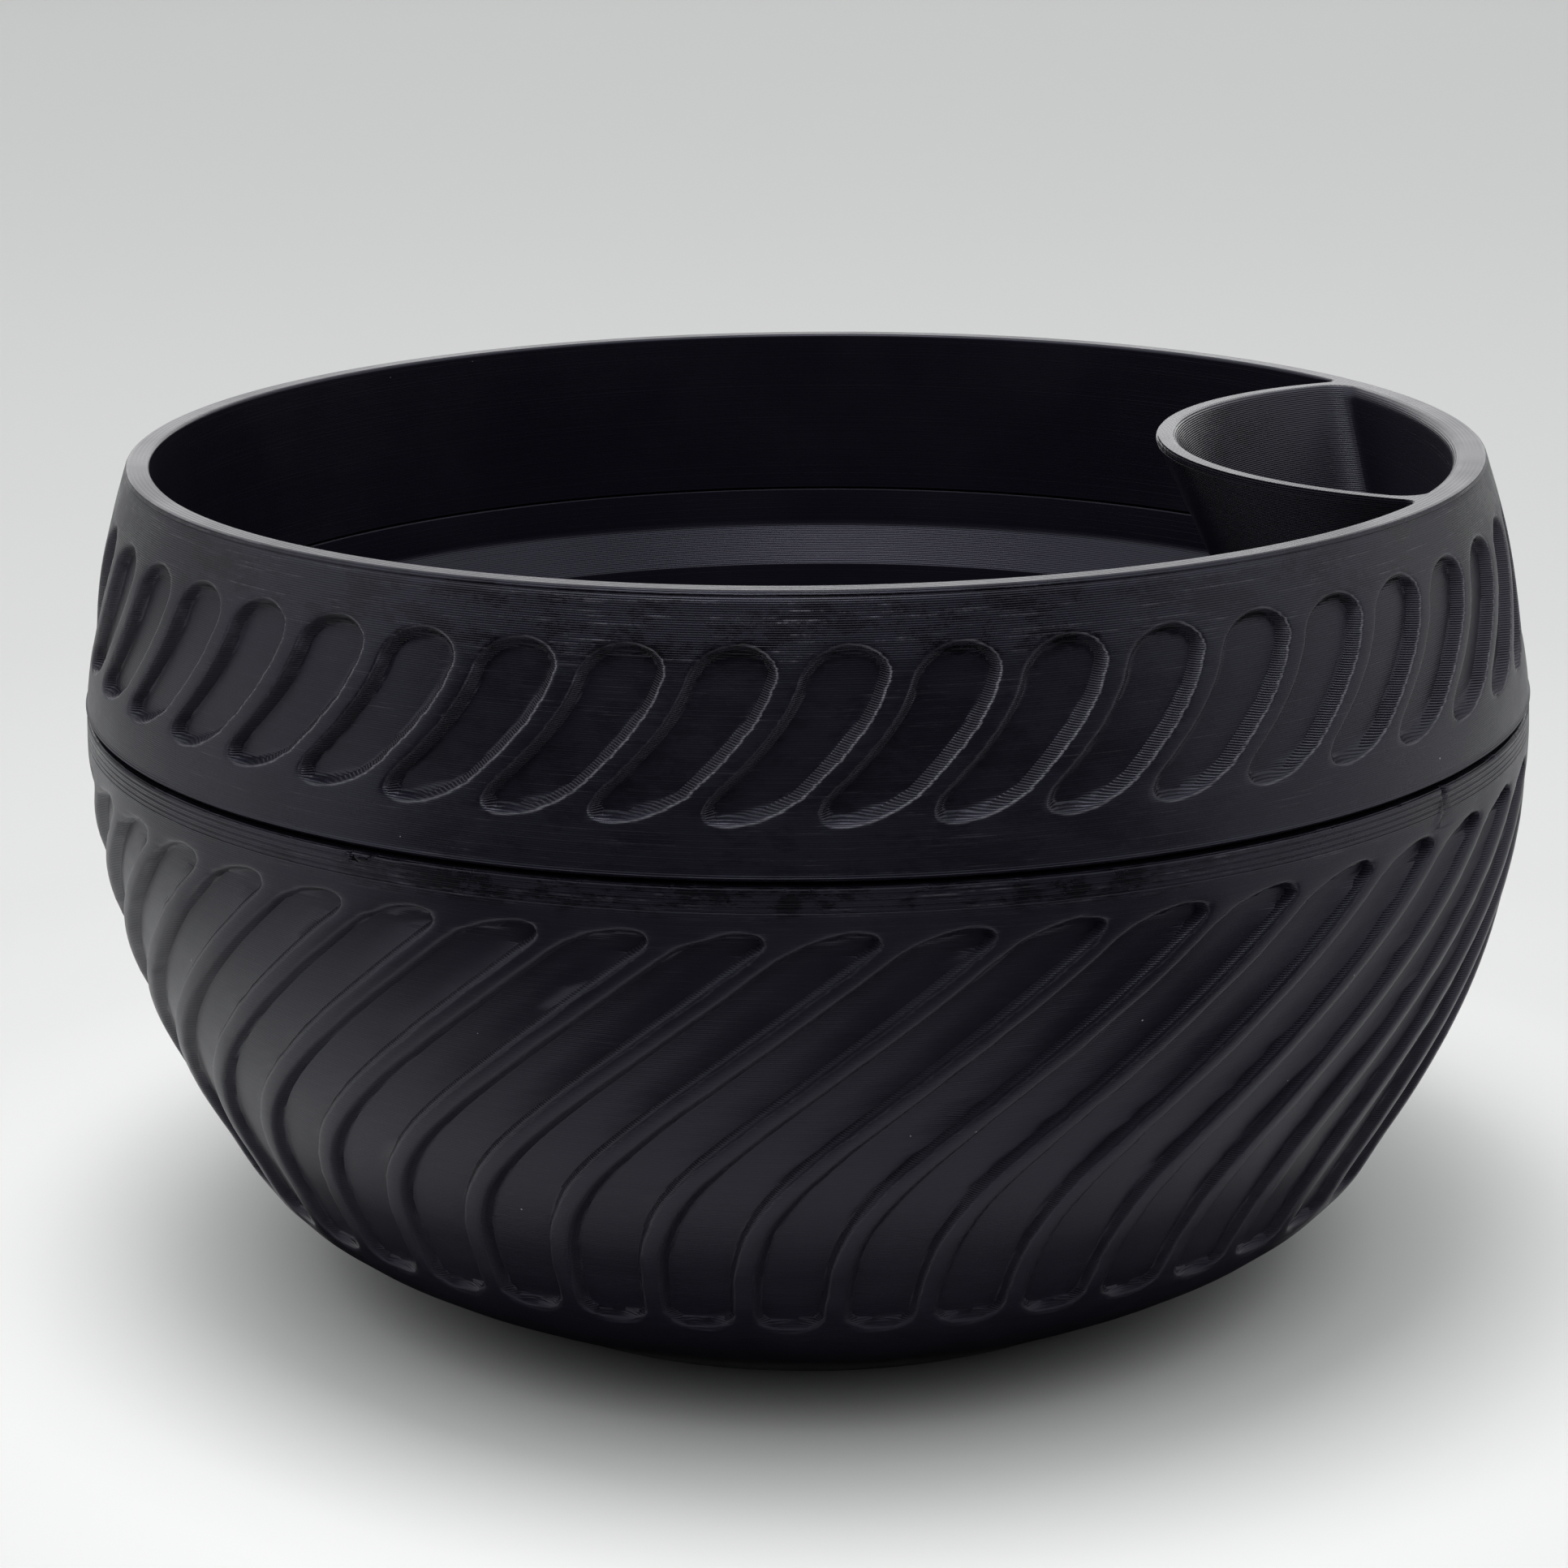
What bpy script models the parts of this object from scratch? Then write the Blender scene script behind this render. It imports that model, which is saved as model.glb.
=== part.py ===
"""Two-piece swirled yarn bowl: a lower bowl and a lift-off rim ring with a notions pocket.

The bowl stands on its flat base with the origin at the base's centre, +Z up and -Y to the
front. The ring drops over an upstanding lip of the bowl and lifts straight off along +Z.
"""

import math

import bmesh
import bpy

MM = 0.001

# ---- driving dimensions ----------------------------------------------------------------
# Outer outline (radius, height), from the foot to the rim.
OUTLINE = [
    (40.6 * MM, 0.0 * MM),
    (58.6 * MM, 10.5 * MM),
    (65.95 * MM, 21.0 * MM),
    (71.1 * MM, 31.5 * MM),
    (74.3 * MM, 42.0 * MM),
    (76.1 * MM, 52.5 * MM),
    (76.2 * MM, 63.1 * MM),
    (74.95 * MM, 71.5 * MM),
    (73.4 * MM, 80.0 * MM),
    (70.8 * MM, 88.4 * MM),
]
TOTAL_HEIGHT = 88.4 * MM

# Lap joint between the two pieces.
SEAM_Z = 63.1 * MM            # middle of the gap seen from outside
SEAM_GAP = 0.5 * MM
EDGE_CHAMFER = 0.4 * MM       # on both outer edges at the gap
LIP_TOP_Z = 68.7 * MM         # top of the bowl's upstanding lip
LIP_OUTER_R = 73.0 * MM
LIP_INNER_R = 70.0 * MM
FIT_GAP = 0.3 * MM            # between the lip and the ring's rebate, all round

# Inside of the bowl and of the ring.
SHOULDER_TOP_Z = 64.3 * MM    # the lip's inner face turns into a sloping shoulder
SHOULDER_LOW_Z = 59.7 * MM
SHOULDER_R = 67.4 * MM
FLOOR_Z = 4.2 * MM
RIM_INNER_R = 68.4 * MM

# Notions pocket: a cone standing on the ring's wall, cut off flat at its floor.
POCKET_AZIMUTH = math.radians(88.7)   # from the front (-Y) towards +X
POCKET_AXIS_R = 72.8 * MM
POCKET_TOP_R = 36.0 * MM
POCKET_TAPER = 0.48                   # radius lost per unit of depth
POCKET_WALL = 2.2 * MM
POCKET_FLOOR_Z = 71.5 * MM
POCKET_BACK_R = 67.4 * MM             # the pocket's hollow ends here, short of the ring's wall

# Slanting recesses, one row on each piece: their lowest and highest points, and where a
# recess has its floor and its edges, in degrees from the middle line that it follows.
SLOT_COUNT = 46
SLOT_DEPTH = 1.2 * MM
RING_SLOTS = {"low": 68.2 * MM, "high": 83.8 * MM, "floor": (-1.9, 1.6), "edge": (-3.1, 2.8)}
BOWL_SLOTS = {"low": 13.8 * MM, "high": 58.7 * MM, "floor": (-2.2, 2.9), "edge": (-2.95, 3.35)}
END_LENGTH = 1.2 * MM         # in which a recess reaches its full depth
END_SQUEEZE = 0.72            # share of its width that a recess has at that place

COLUMNS_PER_SLOT = 4
INNER_SEGMENTS = 72
CLEAR = 2.0 * MM                      # how far a cutter runs past the face it opens

PLASTIC_COLOUR = (0.016, 0.016, 0.021, 1.0)
PLASTIC_ROUGHNESS = 0.45

PITCH = 2.0 * math.pi / SLOT_COUNT


# ---- outlines and the swirl --------------------------------------------------------------
def outline_radius(z):
    """Outer radius at height z: a smooth curve through OUTLINE."""
    last = len(OUTLINE) - 2
    i = 0
    while i < last and z > OUTLINE[i + 1][1]:
        i += 1
    before = OUTLINE[max(i - 1, 0)]
    start, end = OUTLINE[i], OUTLINE[i + 1]
    after = OUTLINE[min(i + 2, len(OUTLINE) - 1)]
    span = end[1] - start[1]
    t = (z - start[1]) / span
    slope_start = (end[0] - before[0]) / (end[1] - before[1]) * span
    slope_end = (after[0] - start[0]) / (after[1] - start[1]) * span
    return (
        start[0] * (2 * t**3 - 3 * t**2 + 1)
        + slope_start * (t**3 - 2 * t**2 + t)
        + end[0] * (3 * t**2 - 2 * t**3)
        + slope_end * (t**3 - t**2)
    )


def bowl_swirl(z):
    """Azimuth of a groove's middle: upright near the foot, then climbing steadily to the right."""
    rate, bend_z, bend_width = math.radians(0.96) / MM, 28.5 * MM, 4.0 * MM
    climb = rate * bend_width * math.log1p(math.exp((z - bend_z) / bend_width))
    return math.radians(-33.7) + climb


def ring_swirl(z):
    """Azimuth of a ring slot's middle: leaning at the seam, nearly upright towards the rim."""
    rate, bend_z, bend_width = math.radians(0.90) / MM, 78.3 * MM, 3.0 * MM
    climb = rate * bend_width * math.log1p(math.exp((bend_z - z) / bend_width))
    return math.radians(3.6) - climb


def slot_heights(slots, step):
    """Rows of a relief surface over its slots, with rows at both of their ends."""
    inner_low, inner_high = slots["low"] + END_LENGTH, slots["high"] - END_LENGTH
    count = round((inner_high - inner_low) / step)
    rows = [inner_low + (inner_high - inner_low) * i / count for i in range(count + 1)]
    return [slots["low"], *rows, slots["high"]]


# ---- mesh helpers --------------------------------------------------------------------------
def collection(name):
    made = bpy.data.collections.new(name)
    bpy.context.scene.collection.children.link(made)
    return made


def plastic(name):
    material = bpy.data.materials.new(name)
    material.use_nodes = True
    shader = material.node_tree.nodes["Principled BSDF"]
    shader.inputs["Base Color"].default_value = PLASTIC_COLOUR
    shader.inputs["Roughness"].default_value = PLASTIC_ROUGHNESS
    shader.inputs["Metallic"].default_value = 0.0
    return material


def turned(name, outline, segments, home):
    """Solid of revolution: outline is (radius, height), from the axis at the top, down the
    outside and back to the axis."""
    mesh = bpy.data.meshes.new(name)
    points = [(radius, 0.0, z) for radius, z in outline]
    edges = [(i, i + 1) for i in range(len(points) - 1)]
    mesh.from_pydata(points, edges, [])
    made = bpy.data.objects.new(name, mesh)
    home.objects.link(made)
    screw = made.modifiers.new("Turn", "SCREW")
    screw.steps = segments
    screw.render_steps = segments
    screw.use_merge_vertices = True
    screw.merge_threshold = 0.00001
    return made


def bake(made):
    """Replaces an object's mesh by what its modifiers make of it."""
    graph = bpy.context.evaluated_depsgraph_get()
    mesh = bpy.data.meshes.new_from_object(made.evaluated_get(graph))
    made.modifiers.clear()
    made.data = mesh
    return made


def press_slots(made, z_offset, slots, swirl, last_row_z):
    """Turns the columns of a turned blank along the swirl and presses the slots into it."""
    column_step = PITCH / COLUMNS_PER_SLOT
    # A slot's four columns: both ends of its floor, then both ends of the land beside it.
    floor_left, floor_right = map(math.radians, slots["floor"])
    edge_left, edge_right = map(math.radians, slots["edge"])
    offsets = [floor_left, floor_right, edge_right, PITCH + edge_left]
    mesh = bmesh.new()
    mesh.from_mesh(made.data)
    for vertex in mesh.verts:
        x, y, z = vertex.co
        z += z_offset
        radius = math.hypot(x, y)
        if radius < 1.0 * MM or z > last_row_z:
            continue
        column = round((math.atan2(x, -y) % (2.0 * math.pi)) / column_step)
        slot, place = divmod(column, COLUMNS_PER_SLOT)
        inside = min(z - slots["low"], slots["high"] - z)
        offset = offsets[place]
        on_floor = place < 2 and inside > 0.5 * END_LENGTH
        if on_floor:
            radius -= SLOT_DEPTH
        if on_floor and inside < 1.5 * END_LENGTH:
            offset *= END_SQUEEZE
        azimuth = slot * PITCH + offset + swirl(z)
        vertex.co.x = radius * math.sin(azimuth)
        vertex.co.y = -radius * math.cos(azimuth)
    mesh.to_mesh(made.data)
    mesh.free()


def cut(made, name, operation, cutter):
    step = made.modifiers.new(name, "BOOLEAN")
    step.operation = operation
    step.solver = "EXACT"
    step.object = cutter


def as_cutter(made):
    made.hide_render = True
    made.display_type = "WIRE"
    return made


def smooth(made):
    made.data.shade_smooth()
    made.data.set_sharp_from_angle(angle=math.radians(35.0))


# ---- the two pieces ------------------------------------------------------------------------
def lower_bowl(home, cutters):
    edge_z = SEAM_Z - SEAM_GAP / 2
    foot_rows = [2.5 * MM, 7.0 * MM]
    rows = [*foot_rows, *slot_heights(BOWL_SLOTS, 4.2 * MM), edge_z - EDGE_CHAMFER]
    side = [(outline_radius(z), z) for z in reversed(rows)]
    outline = [
        (0.0, LIP_TOP_Z),
        (LIP_OUTER_R, LIP_TOP_Z),
        (LIP_OUTER_R, edge_z),
        (outline_radius(edge_z) - EDGE_CHAMFER, edge_z),
        *side,
        (outline_radius(0.0), 0.0),
        (0.0, 0.0),
    ]
    bowl = bake(turned("lower_bowl", outline, SLOT_COUNT * COLUMNS_PER_SLOT, home))
    press_slots(bowl, 0.0, BOWL_SLOTS, bowl_swirl, edge_z + 0.1 * MM)

    inside = [(0.0, LIP_TOP_Z + CLEAR), (LIP_INNER_R, LIP_TOP_Z + CLEAR)]
    inside += [(LIP_INNER_R, SHOULDER_TOP_Z), (SHOULDER_R, SHOULDER_LOW_Z)]
    # The inner wall is an upright quarter ellipse down to the edge of a flat floor.
    wall_foot_z, floor_edge = 47.0 * MM, 0.55
    steps = 9
    for i in range(steps + 1):
        turn = math.acos(floor_edge) * i / steps
        radius = SHOULDER_R * math.cos(turn)
        depth = (wall_foot_z - FLOOR_Z) * math.sin(turn) / math.sin(math.acos(floor_edge))
        inside.append((radius, wall_foot_z - depth))
    inside.append((0.0, FLOOR_Z))
    hollow = as_cutter(turned("bowl_hollow_cutter", inside, INNER_SEGMENTS, cutters))
    cut(bowl, "Hollow", "DIFFERENCE", hollow)
    return bowl


def rim_ring(home, cutters):
    edge_z = SEAM_Z + SEAM_GAP / 2
    rows = [edge_z + EDGE_CHAMFER, *slot_heights(RING_SLOTS, 3.2 * MM), 86.5 * MM]
    side = [(outline_radius(z), z - SEAM_Z) for z in reversed(rows)]
    outline = [
        (0.0, TOTAL_HEIGHT - SEAM_Z),
        (outline_radius(TOTAL_HEIGHT), TOTAL_HEIGHT - SEAM_Z),
        *side,
        (outline_radius(edge_z) - EDGE_CHAMFER, edge_z - SEAM_Z),
        (0.0, edge_z - SEAM_Z),
    ]
    ring = bake(turned("rim_ring", outline, SLOT_COUNT * COLUMNS_PER_SLOT, home))
    press_slots(ring, SEAM_Z, RING_SLOTS, ring_swirl, TOTAL_HEIGHT - 0.1 * MM)
    ring.location.z = SEAM_Z

    rebate_z = LIP_TOP_Z + FIT_GAP
    bore = turned(
        "ring_bore_cutter",
        [
            (0.0, TOTAL_HEIGHT + CLEAR),
            (RIM_INNER_R, TOTAL_HEIGHT + CLEAR),
            (RIM_INNER_R, TOTAL_HEIGHT),
            (LIP_INNER_R, rebate_z),
            (LIP_OUTER_R + FIT_GAP, rebate_z),
            (LIP_OUTER_R + FIT_GAP, SEAM_Z - CLEAR),
            (0.0, SEAM_Z - CLEAR),
        ],
        INNER_SEGMENTS,
        cutters,
    )
    # What the bore leaves standing is the pocket's wall and floor.
    pocket_under_z = POCKET_FLOOR_Z - POCKET_WALL
    keep = pocket_cone("pocket_body_cutter", pocket_under_z, 0.0, cutters)
    cut(bore, "Keep pocket", "DIFFERENCE", keep)
    hollow = pocket_cone("pocket_hollow_cutter", POCKET_FLOOR_Z, POCKET_WALL, cutters)
    limit = turned(
        "pocket_limit_cutter",
        [
            (0.0, TOTAL_HEIGHT + 3 * CLEAR),
            (POCKET_BACK_R, TOTAL_HEIGHT + 3 * CLEAR),
            (POCKET_BACK_R, SEAM_Z),
            (0.0, SEAM_Z),
        ],
        INNER_SEGMENTS,
        cutters,
    )
    cut(hollow, "Stop at wall", "INTERSECT", limit)
    cut(ring, "Bore", "DIFFERENCE", bore)
    cut(ring, "Pocket", "DIFFERENCE", hollow)
    for cutter in (bore, keep, hollow, limit):
        as_cutter(cutter)
    return ring


def pocket_cone(name, low_z, inset, home):
    """Upright cone on the pocket's axis, inset from the pocket's outside, open to the top."""
    high_z = TOTAL_HEIGHT + 2 * CLEAR
    low_r = POCKET_TOP_R - POCKET_TAPER * (TOTAL_HEIGHT - low_z) - inset
    high_r = POCKET_TOP_R + POCKET_TAPER * (high_z - TOTAL_HEIGHT) - inset
    outline = [(0.0, high_z), (high_r, high_z), (low_r, low_z), (0.0, low_z)]
    cone = turned(name, outline, INNER_SEGMENTS, home)
    cone.location.x = POCKET_AXIS_R * math.sin(POCKET_AZIMUTH)
    cone.location.y = -POCKET_AXIS_R * math.cos(POCKET_AZIMUTH)
    return cone


def main():
    for old in list(bpy.data.objects):
        bpy.data.objects.remove(old, do_unlink=True)
    home = collection("yarn_bowl")
    cutters = collection("cutters")
    bowl = lower_bowl(home, cutters)
    ring = rim_ring(home, cutters)
    bowl.data.materials.append(plastic("bowl_plastic"))
    ring.data.materials.append(plastic("ring_plastic"))
    for piece in (bowl, ring):
        smooth(piece)


main()
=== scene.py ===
"""Looks of the two-piece yarn bowl: both printed pieces at full detail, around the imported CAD.

Everything is in metres in the row frame: +Z up, the origin at the middle of the base, -Y to
the front. An azimuth is measured from the front towards +X.
"""

import math

import bpy
import numpy as np
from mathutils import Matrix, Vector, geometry

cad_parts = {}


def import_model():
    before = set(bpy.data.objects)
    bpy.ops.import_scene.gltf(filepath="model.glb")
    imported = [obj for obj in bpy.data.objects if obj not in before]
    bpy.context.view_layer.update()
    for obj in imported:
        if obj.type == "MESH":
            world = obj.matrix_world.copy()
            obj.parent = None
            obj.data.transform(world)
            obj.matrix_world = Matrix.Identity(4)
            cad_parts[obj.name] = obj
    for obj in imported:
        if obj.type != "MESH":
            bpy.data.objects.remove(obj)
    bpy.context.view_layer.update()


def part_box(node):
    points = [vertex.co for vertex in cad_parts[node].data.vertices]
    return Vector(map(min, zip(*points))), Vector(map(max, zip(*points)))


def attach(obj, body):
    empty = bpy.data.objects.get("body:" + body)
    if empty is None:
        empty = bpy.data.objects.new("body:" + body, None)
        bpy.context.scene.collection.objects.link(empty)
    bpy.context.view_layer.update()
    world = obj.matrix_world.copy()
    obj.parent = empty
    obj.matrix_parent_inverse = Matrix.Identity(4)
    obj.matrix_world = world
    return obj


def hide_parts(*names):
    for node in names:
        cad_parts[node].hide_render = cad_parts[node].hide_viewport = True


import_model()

MM = 0.001
FULL_TURN = 2.0 * math.pi

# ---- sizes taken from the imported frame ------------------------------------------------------
RING_LOW, RING_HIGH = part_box("rim_ring")
BOWL_LOW, BOWL_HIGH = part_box("lower_bowl")
BASE_Z = BOWL_LOW.z
RIM_Z = RING_HIGH.z
LIP_TOP_Z = BOWL_HIGH.z
SEAM_GAP = 0.5 * MM
RING_EDGE_Z = RING_LOW.z
BOWL_EDGE_Z = RING_LOW.z - SEAM_GAP

# ---- the outer form, as in the CAD ----------------------------------------------------------
OUTLINE = np.array([
    (40.6, 0.0),
    (58.6, 10.5),
    (65.95, 21.0),
    (71.1, 31.5),
    (74.3, 42.0),
    (76.1, 52.5),
    (76.2, 63.1),
    (74.95, 71.5),
    (73.4, 80.0),
    (70.8, 88.4),
]) * MM
EDGE_CHAMFER = 0.4 * MM
BOWL_CHAMFER = 0.25 * MM
RIM_LINE = 0.48 * MM           # a fine line runs round the ring this far below the rim
FIRST_LAYER_BULGE = 0.14 * MM  # the ring's lowest layers are pressed outwards by the print bed
LIP_OUTER_R = 73.0 * MM
LIP_INNER_R = 70.0 * MM
LIP_LEAN = 0.35 * MM           # the lip's inside leans out, downwards, like the ring's above it
FIT_GAP = 0.3 * MM
SHOULDER_TOP_Z = 64.3 * MM
SHOULDER_LOW_Z = 59.7 * MM
SHOULDER_R = 67.4 * MM
WALL_FOOT_Z = 47.0 * MM
FLOOR_Z = 4.2 * MM
FLOOR_EDGE = 0.55              # share of SHOULDER_R at which the curved wall meets the floor
RIM_INNER_R = 68.4 * MM

POCKET_AZIMUTH = math.radians(88.7)
POCKET_AXIS_R = 72.8 * MM
POCKET_TOP_R = 36.0 * MM
POCKET_TAPER = 0.48
POCKET_WALL = 2.2 * MM
POCKET_FLOOR_Z = 71.5 * MM
POCKET_BACK_R = 67.4 * MM

# ---- recesses -------------------------------------------------------------------------------
# low and high are a recess's ends, edge its sides in degrees from the line that it follows,
# cap the height of its rounded ends, and wall how wide its sloping wall is on each side. reach
# is how far inside its sides the columns crowd. rounding and crease are the shares of a wall's
# width over which it bends at its top and foot, crown the fall of the lands beside it, and
# ragged how far its outline strays.
SLOT_COUNT = 46
PITCH = FULL_TURN / SLOT_COUNT
SLOT_DEPTH = 1.2 * MM
RING_SLOTS = {
    "low": 68.2 * MM, "high": 83.8 * MM, "cap": 3.0 * MM, "edge": (-3.15, 3.0),
    "wall": {"left": 1.15 * MM, "right": 1.1 * MM, "top": 1.4 * MM, "bottom": 1.0 * MM},
    "reach": (1.3, 1.3), "rounding": 0.45, "crease": 0.25, "crown": 0.05 * MM,
    "ragged": 0.03 * MM,
}
BOWL_SLOTS = {
    "low": 13.8 * MM, "high": 58.7 * MM, "cap": 2.6 * MM, "edge": (-2.95, 3.35),
    "wall": {"left": 0.9 * MM, "right": 0.5 * MM, "top": 0.75 * MM, "bottom": 1.7 * MM},
    "reach": (1.2, 0.8), "rounding": 0.8, "crease": 0.08, "crown": 0.12 * MM,
    "ragged": 0.055 * MM,
}
WALL_START = 0.15              # share of a wall's width that lies outside the outline
CROWN_REACH = 0.45 * MM        # how far the fall of a land towards its recesses is felt
TIP_SHARE = 0.3                # share of its width to which a recess's columns close at its tip
LAYER = 0.2 * MM


# ---- outline and swirl ----------------------------------------------------------------------
def outline_radius(z):
    """Outer radius at the heights z: a smooth curve through OUTLINE."""
    heights = OUTLINE[:, 1]
    i = np.clip(np.searchsorted(heights, z, side="left") - 1, 0, len(heights) - 2)
    before, start, end = OUTLINE[np.maximum(i - 1, 0)], OUTLINE[i], OUTLINE[i + 1]
    after = OUTLINE[np.minimum(i + 2, len(OUTLINE) - 1)]
    span = end[..., 1] - start[..., 1]
    t = (z - start[..., 1]) / span
    slope_start = (end[..., 0] - before[..., 0]) / (end[..., 1] - before[..., 1]) * span
    slope_end = (after[..., 0] - start[..., 0]) / (after[..., 1] - start[..., 1]) * span
    return (
        start[..., 0] * (2 * t**3 - 3 * t**2 + 1)
        + slope_start * (t**3 - 2 * t**2 + t)
        + end[..., 0] * (3 * t**2 - 2 * t**3)
        + slope_end * (t**3 - t**2)
    )


def bowl_swirl(z):
    """Azimuth of a groove's middle: upright near the foot, then climbing to the right."""
    rate, bend_z, width = math.radians(0.96) / MM, 28.5 * MM, 4.0 * MM
    return math.radians(-33.7) + rate * width * np.log1p(np.exp((z - bend_z) / width))


def ring_swirl(z):
    """Azimuth of a ring slot's middle: leaning at the seam, upright towards the rim."""
    rate, bend_z, width = math.radians(0.90) / MM, 78.3 * MM, 3.0 * MM
    return math.radians(3.6) - rate * width * np.log1p(np.exp((bend_z - z) / width))


def steps(start, end, step):
    """Evenly spaced values from start up to, and without, end."""
    count = max(1, round(abs(end - start) / step))
    return np.linspace(start, end, count, endpoint=False)


# ---- one closed mesh ------------------------------------------------------------------------
TRACE_LIMIT = 2.0                # millimetres from an outline, past which the trace stays level
NO_TRACE = (-TRACE_LIMIT, 0.0)   # of a point that is far from every recess


class Shell:
    """Gathers one closed mesh from loops of points.

    Every loop runs anticlockwise seen from above, and they are joined in the order that a
    section is walked: out along the underside, up the outside, in over the top, down the inside.
    """

    def __init__(self):
        self.points = []
        self.traces = []
        self.faces = []
        self.count = 0

    def loop(self, points, trace=NO_TRACE):
        """Adds a loop. Its trace is each point's way into a recess and the side it leans to."""
        self.points.append(np.asarray(points, float))
        self.traces.append(np.broadcast_to(trace, (len(points), 2)))
        first = self.count
        self.count += len(points)
        return np.arange(first, self.count)

    def placed(self, loop):
        """Where the points of a loop are."""
        return np.concatenate(self.points)[loop]

    def circle(self, radius, z, count):
        turn = np.arange(count) * FULL_TURN / count
        return self.loop(on_circle(radius, turn, np.full(count, z)))

    def strip(self, first, second):
        """Quads between two loops with as many points as each other."""
        quads = np.stack([first, np.roll(first, -1), np.roll(second, -1), second], axis=1)
        self.faces += quads.tolist()

    def run(self, loops):
        for first, second in zip(loops, loops[1:]):
            self.strip(first, second)

    def bridge(self, first, second):
        """Triangles between two loops around the axis with different numbers of points."""
        first, first_turn = self.from_front(first)
        second, second_turn = self.from_front(second)
        i = j = 0
        while i < len(first) or j < len(second):
            a, b = first[i % len(first)], second[j % len(second)]
            next_first = first_turn[i + 1] if i < len(first) else math.inf
            next_second = second_turn[j + 1] if j < len(second) else math.inf
            if next_first <= next_second:
                i += 1
                self.faces.append([int(a), int(first[i % len(first)]), int(b)])
            else:
                j += 1
                self.faces.append([int(a), int(second[j % len(second)]), int(b)])

    def from_front(self, loop):
        """The loop started at its first point past the front, and its azimuths, closed."""
        points = self.placed(loop)
        turn = np.arctan2(points[:, 0], -points[:, 1]) % FULL_TURN
        start = int(np.argmin(turn))
        turn = np.roll(turn, -start)
        return np.roll(loop, -start), np.append(turn, turn[0] + FULL_TURN)

    def lid(self, loops, facing_up):
        """A flat face between the first loop and the others, which are holes in it."""
        points = np.concatenate(self.points)
        outlines = [[tuple(points[i]) for i in loop] for loop in loops]
        ids = np.concatenate(loops)
        for corners in geometry.tessellate_polygon(outlines):
            a, b, c = (points[ids[i]] for i in corners)
            up = np.cross(b - a, c - a)[2] > 0
            face = [int(ids[i]) for i in corners]
            self.faces.append(face if up == facing_up else face[::-1])

    def build(self, name):
        """Makes the object. The traces become two attributes that its material can read."""
        mesh = bpy.data.meshes.new(name)
        mesh.from_pydata(np.concatenate(self.points).tolist(), [], self.faces)
        mesh.validate()
        for trace, values in zip(("edge_distance", "edge_side"), np.concatenate(self.traces).T):
            layer = mesh.attributes.new(trace, "FLOAT", "POINT")
            layer.data.foreach_set("value", np.ascontiguousarray(values, dtype=np.float32))
        mesh.shade_smooth()
        mesh.set_sharp_from_angle(angle=math.radians(38.0))
        made = bpy.data.objects.new(name, mesh)
        bpy.context.scene.collection.objects.link(made)
        return made


def on_circle(radius, turn, z):
    return np.stack([radius * np.sin(turn), -radius * np.cos(turn), z], axis=-1)


def rounded(corners, segments=4):
    """(radius, height) points along straight stretches whose corners have a fillet each."""
    path = [np.array(corners[0][:2])]
    for before, corner, after in zip(corners, corners[1:], corners[2:]):
        here, fillet = np.array(corner[:2]), corner[2]
        if fillet == 0.0:
            path.append(here)
            continue
        back, ahead = np.array(before[:2]) - here, np.array(after[:2]) - here
        back, ahead = back / np.linalg.norm(back), ahead / np.linalg.norm(ahead)
        half = math.acos(np.clip(back @ ahead, -1.0, 1.0)) / 2.0
        reach = fillet / math.tan(half)
        middle = here + (back + ahead) / np.linalg.norm(back + ahead) * fillet / math.sin(half)
        start, end = here + back * reach - middle, here + ahead * reach - middle
        sweep = math.pi - 2.0 * half
        for i in range(segments + 1):
            t = i / segments
            arm = (math.sin((1 - t) * sweep) * start + math.sin(t * sweep) * end)
            path.append(middle + arm / math.sin(sweep))
    path.append(np.array(corners[-1][:2]))
    return path


# ---- the outer relief -----------------------------------------------------------------------
def column_offsets(slots):
    """One pitch's columns, in radians from a recess's line, crowded at its two walls."""
    left, right = slots["edge"]
    left_reach, right_reach = slots["reach"]
    margin = 0.3
    places = [
        *np.linspace(left - margin, left + left_reach, 7, endpoint=False),
        *np.linspace(left + left_reach, right - right_reach, 3, endpoint=False),
        *np.linspace(right - right_reach, right + margin, 7, endpoint=False),
        *np.linspace(right + margin, left - margin + math.degrees(PITCH), 3, endpoint=False),
    ]
    return np.radians(places)


def into_cap(z, slots):
    """How far a height lies into a recess's rounded end: 0 at its start, 1 or -1 at the tip."""
    above = np.maximum(z - (slots["high"] - slots["cap"]), 0.0)
    below = np.maximum(slots["low"] + slots["cap"] - z, 0.0)
    return (above - below) / slots["cap"]


def squeezed(offsets, z, slots):
    """The columns' offsets at height z, drawn together to follow the rounded ends."""
    left, right = np.radians(slots["edge"])
    middle, half = (left + right) / 2.0, (right - left) / 2.0
    share = max(math.sqrt(max(1.0 - into_cap(z, slots) ** 2, 0.0)), TIP_SHARE)
    near, far = middle - half * share, middle + half * share
    return np.interp(
        offsets,
        [right - PITCH, left, right, left + PITCH],
        [far - PITCH, near, far, near + PITCH],
    )


def slot_rows(slots, cap_rows, middle_step):
    """Heights of the rows over a row of recesses, crowded towards the recesses' tips."""
    low, high, cap = slots["low"], slots["high"], slots["cap"]
    rise = cap * np.sin(np.linspace(0.0, math.pi / 2.0, cap_rows, endpoint=False))[1:]
    outside = np.array([0.0, 0.12, 0.3]) * MM
    return [
        *(low - outside[::-1]),
        *(low + cap - rise[::-1]),
        *steps(low + cap, high - cap, middle_step),
        high - cap,
        *(high - cap + rise),
        *(high + outside),
    ]


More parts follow.
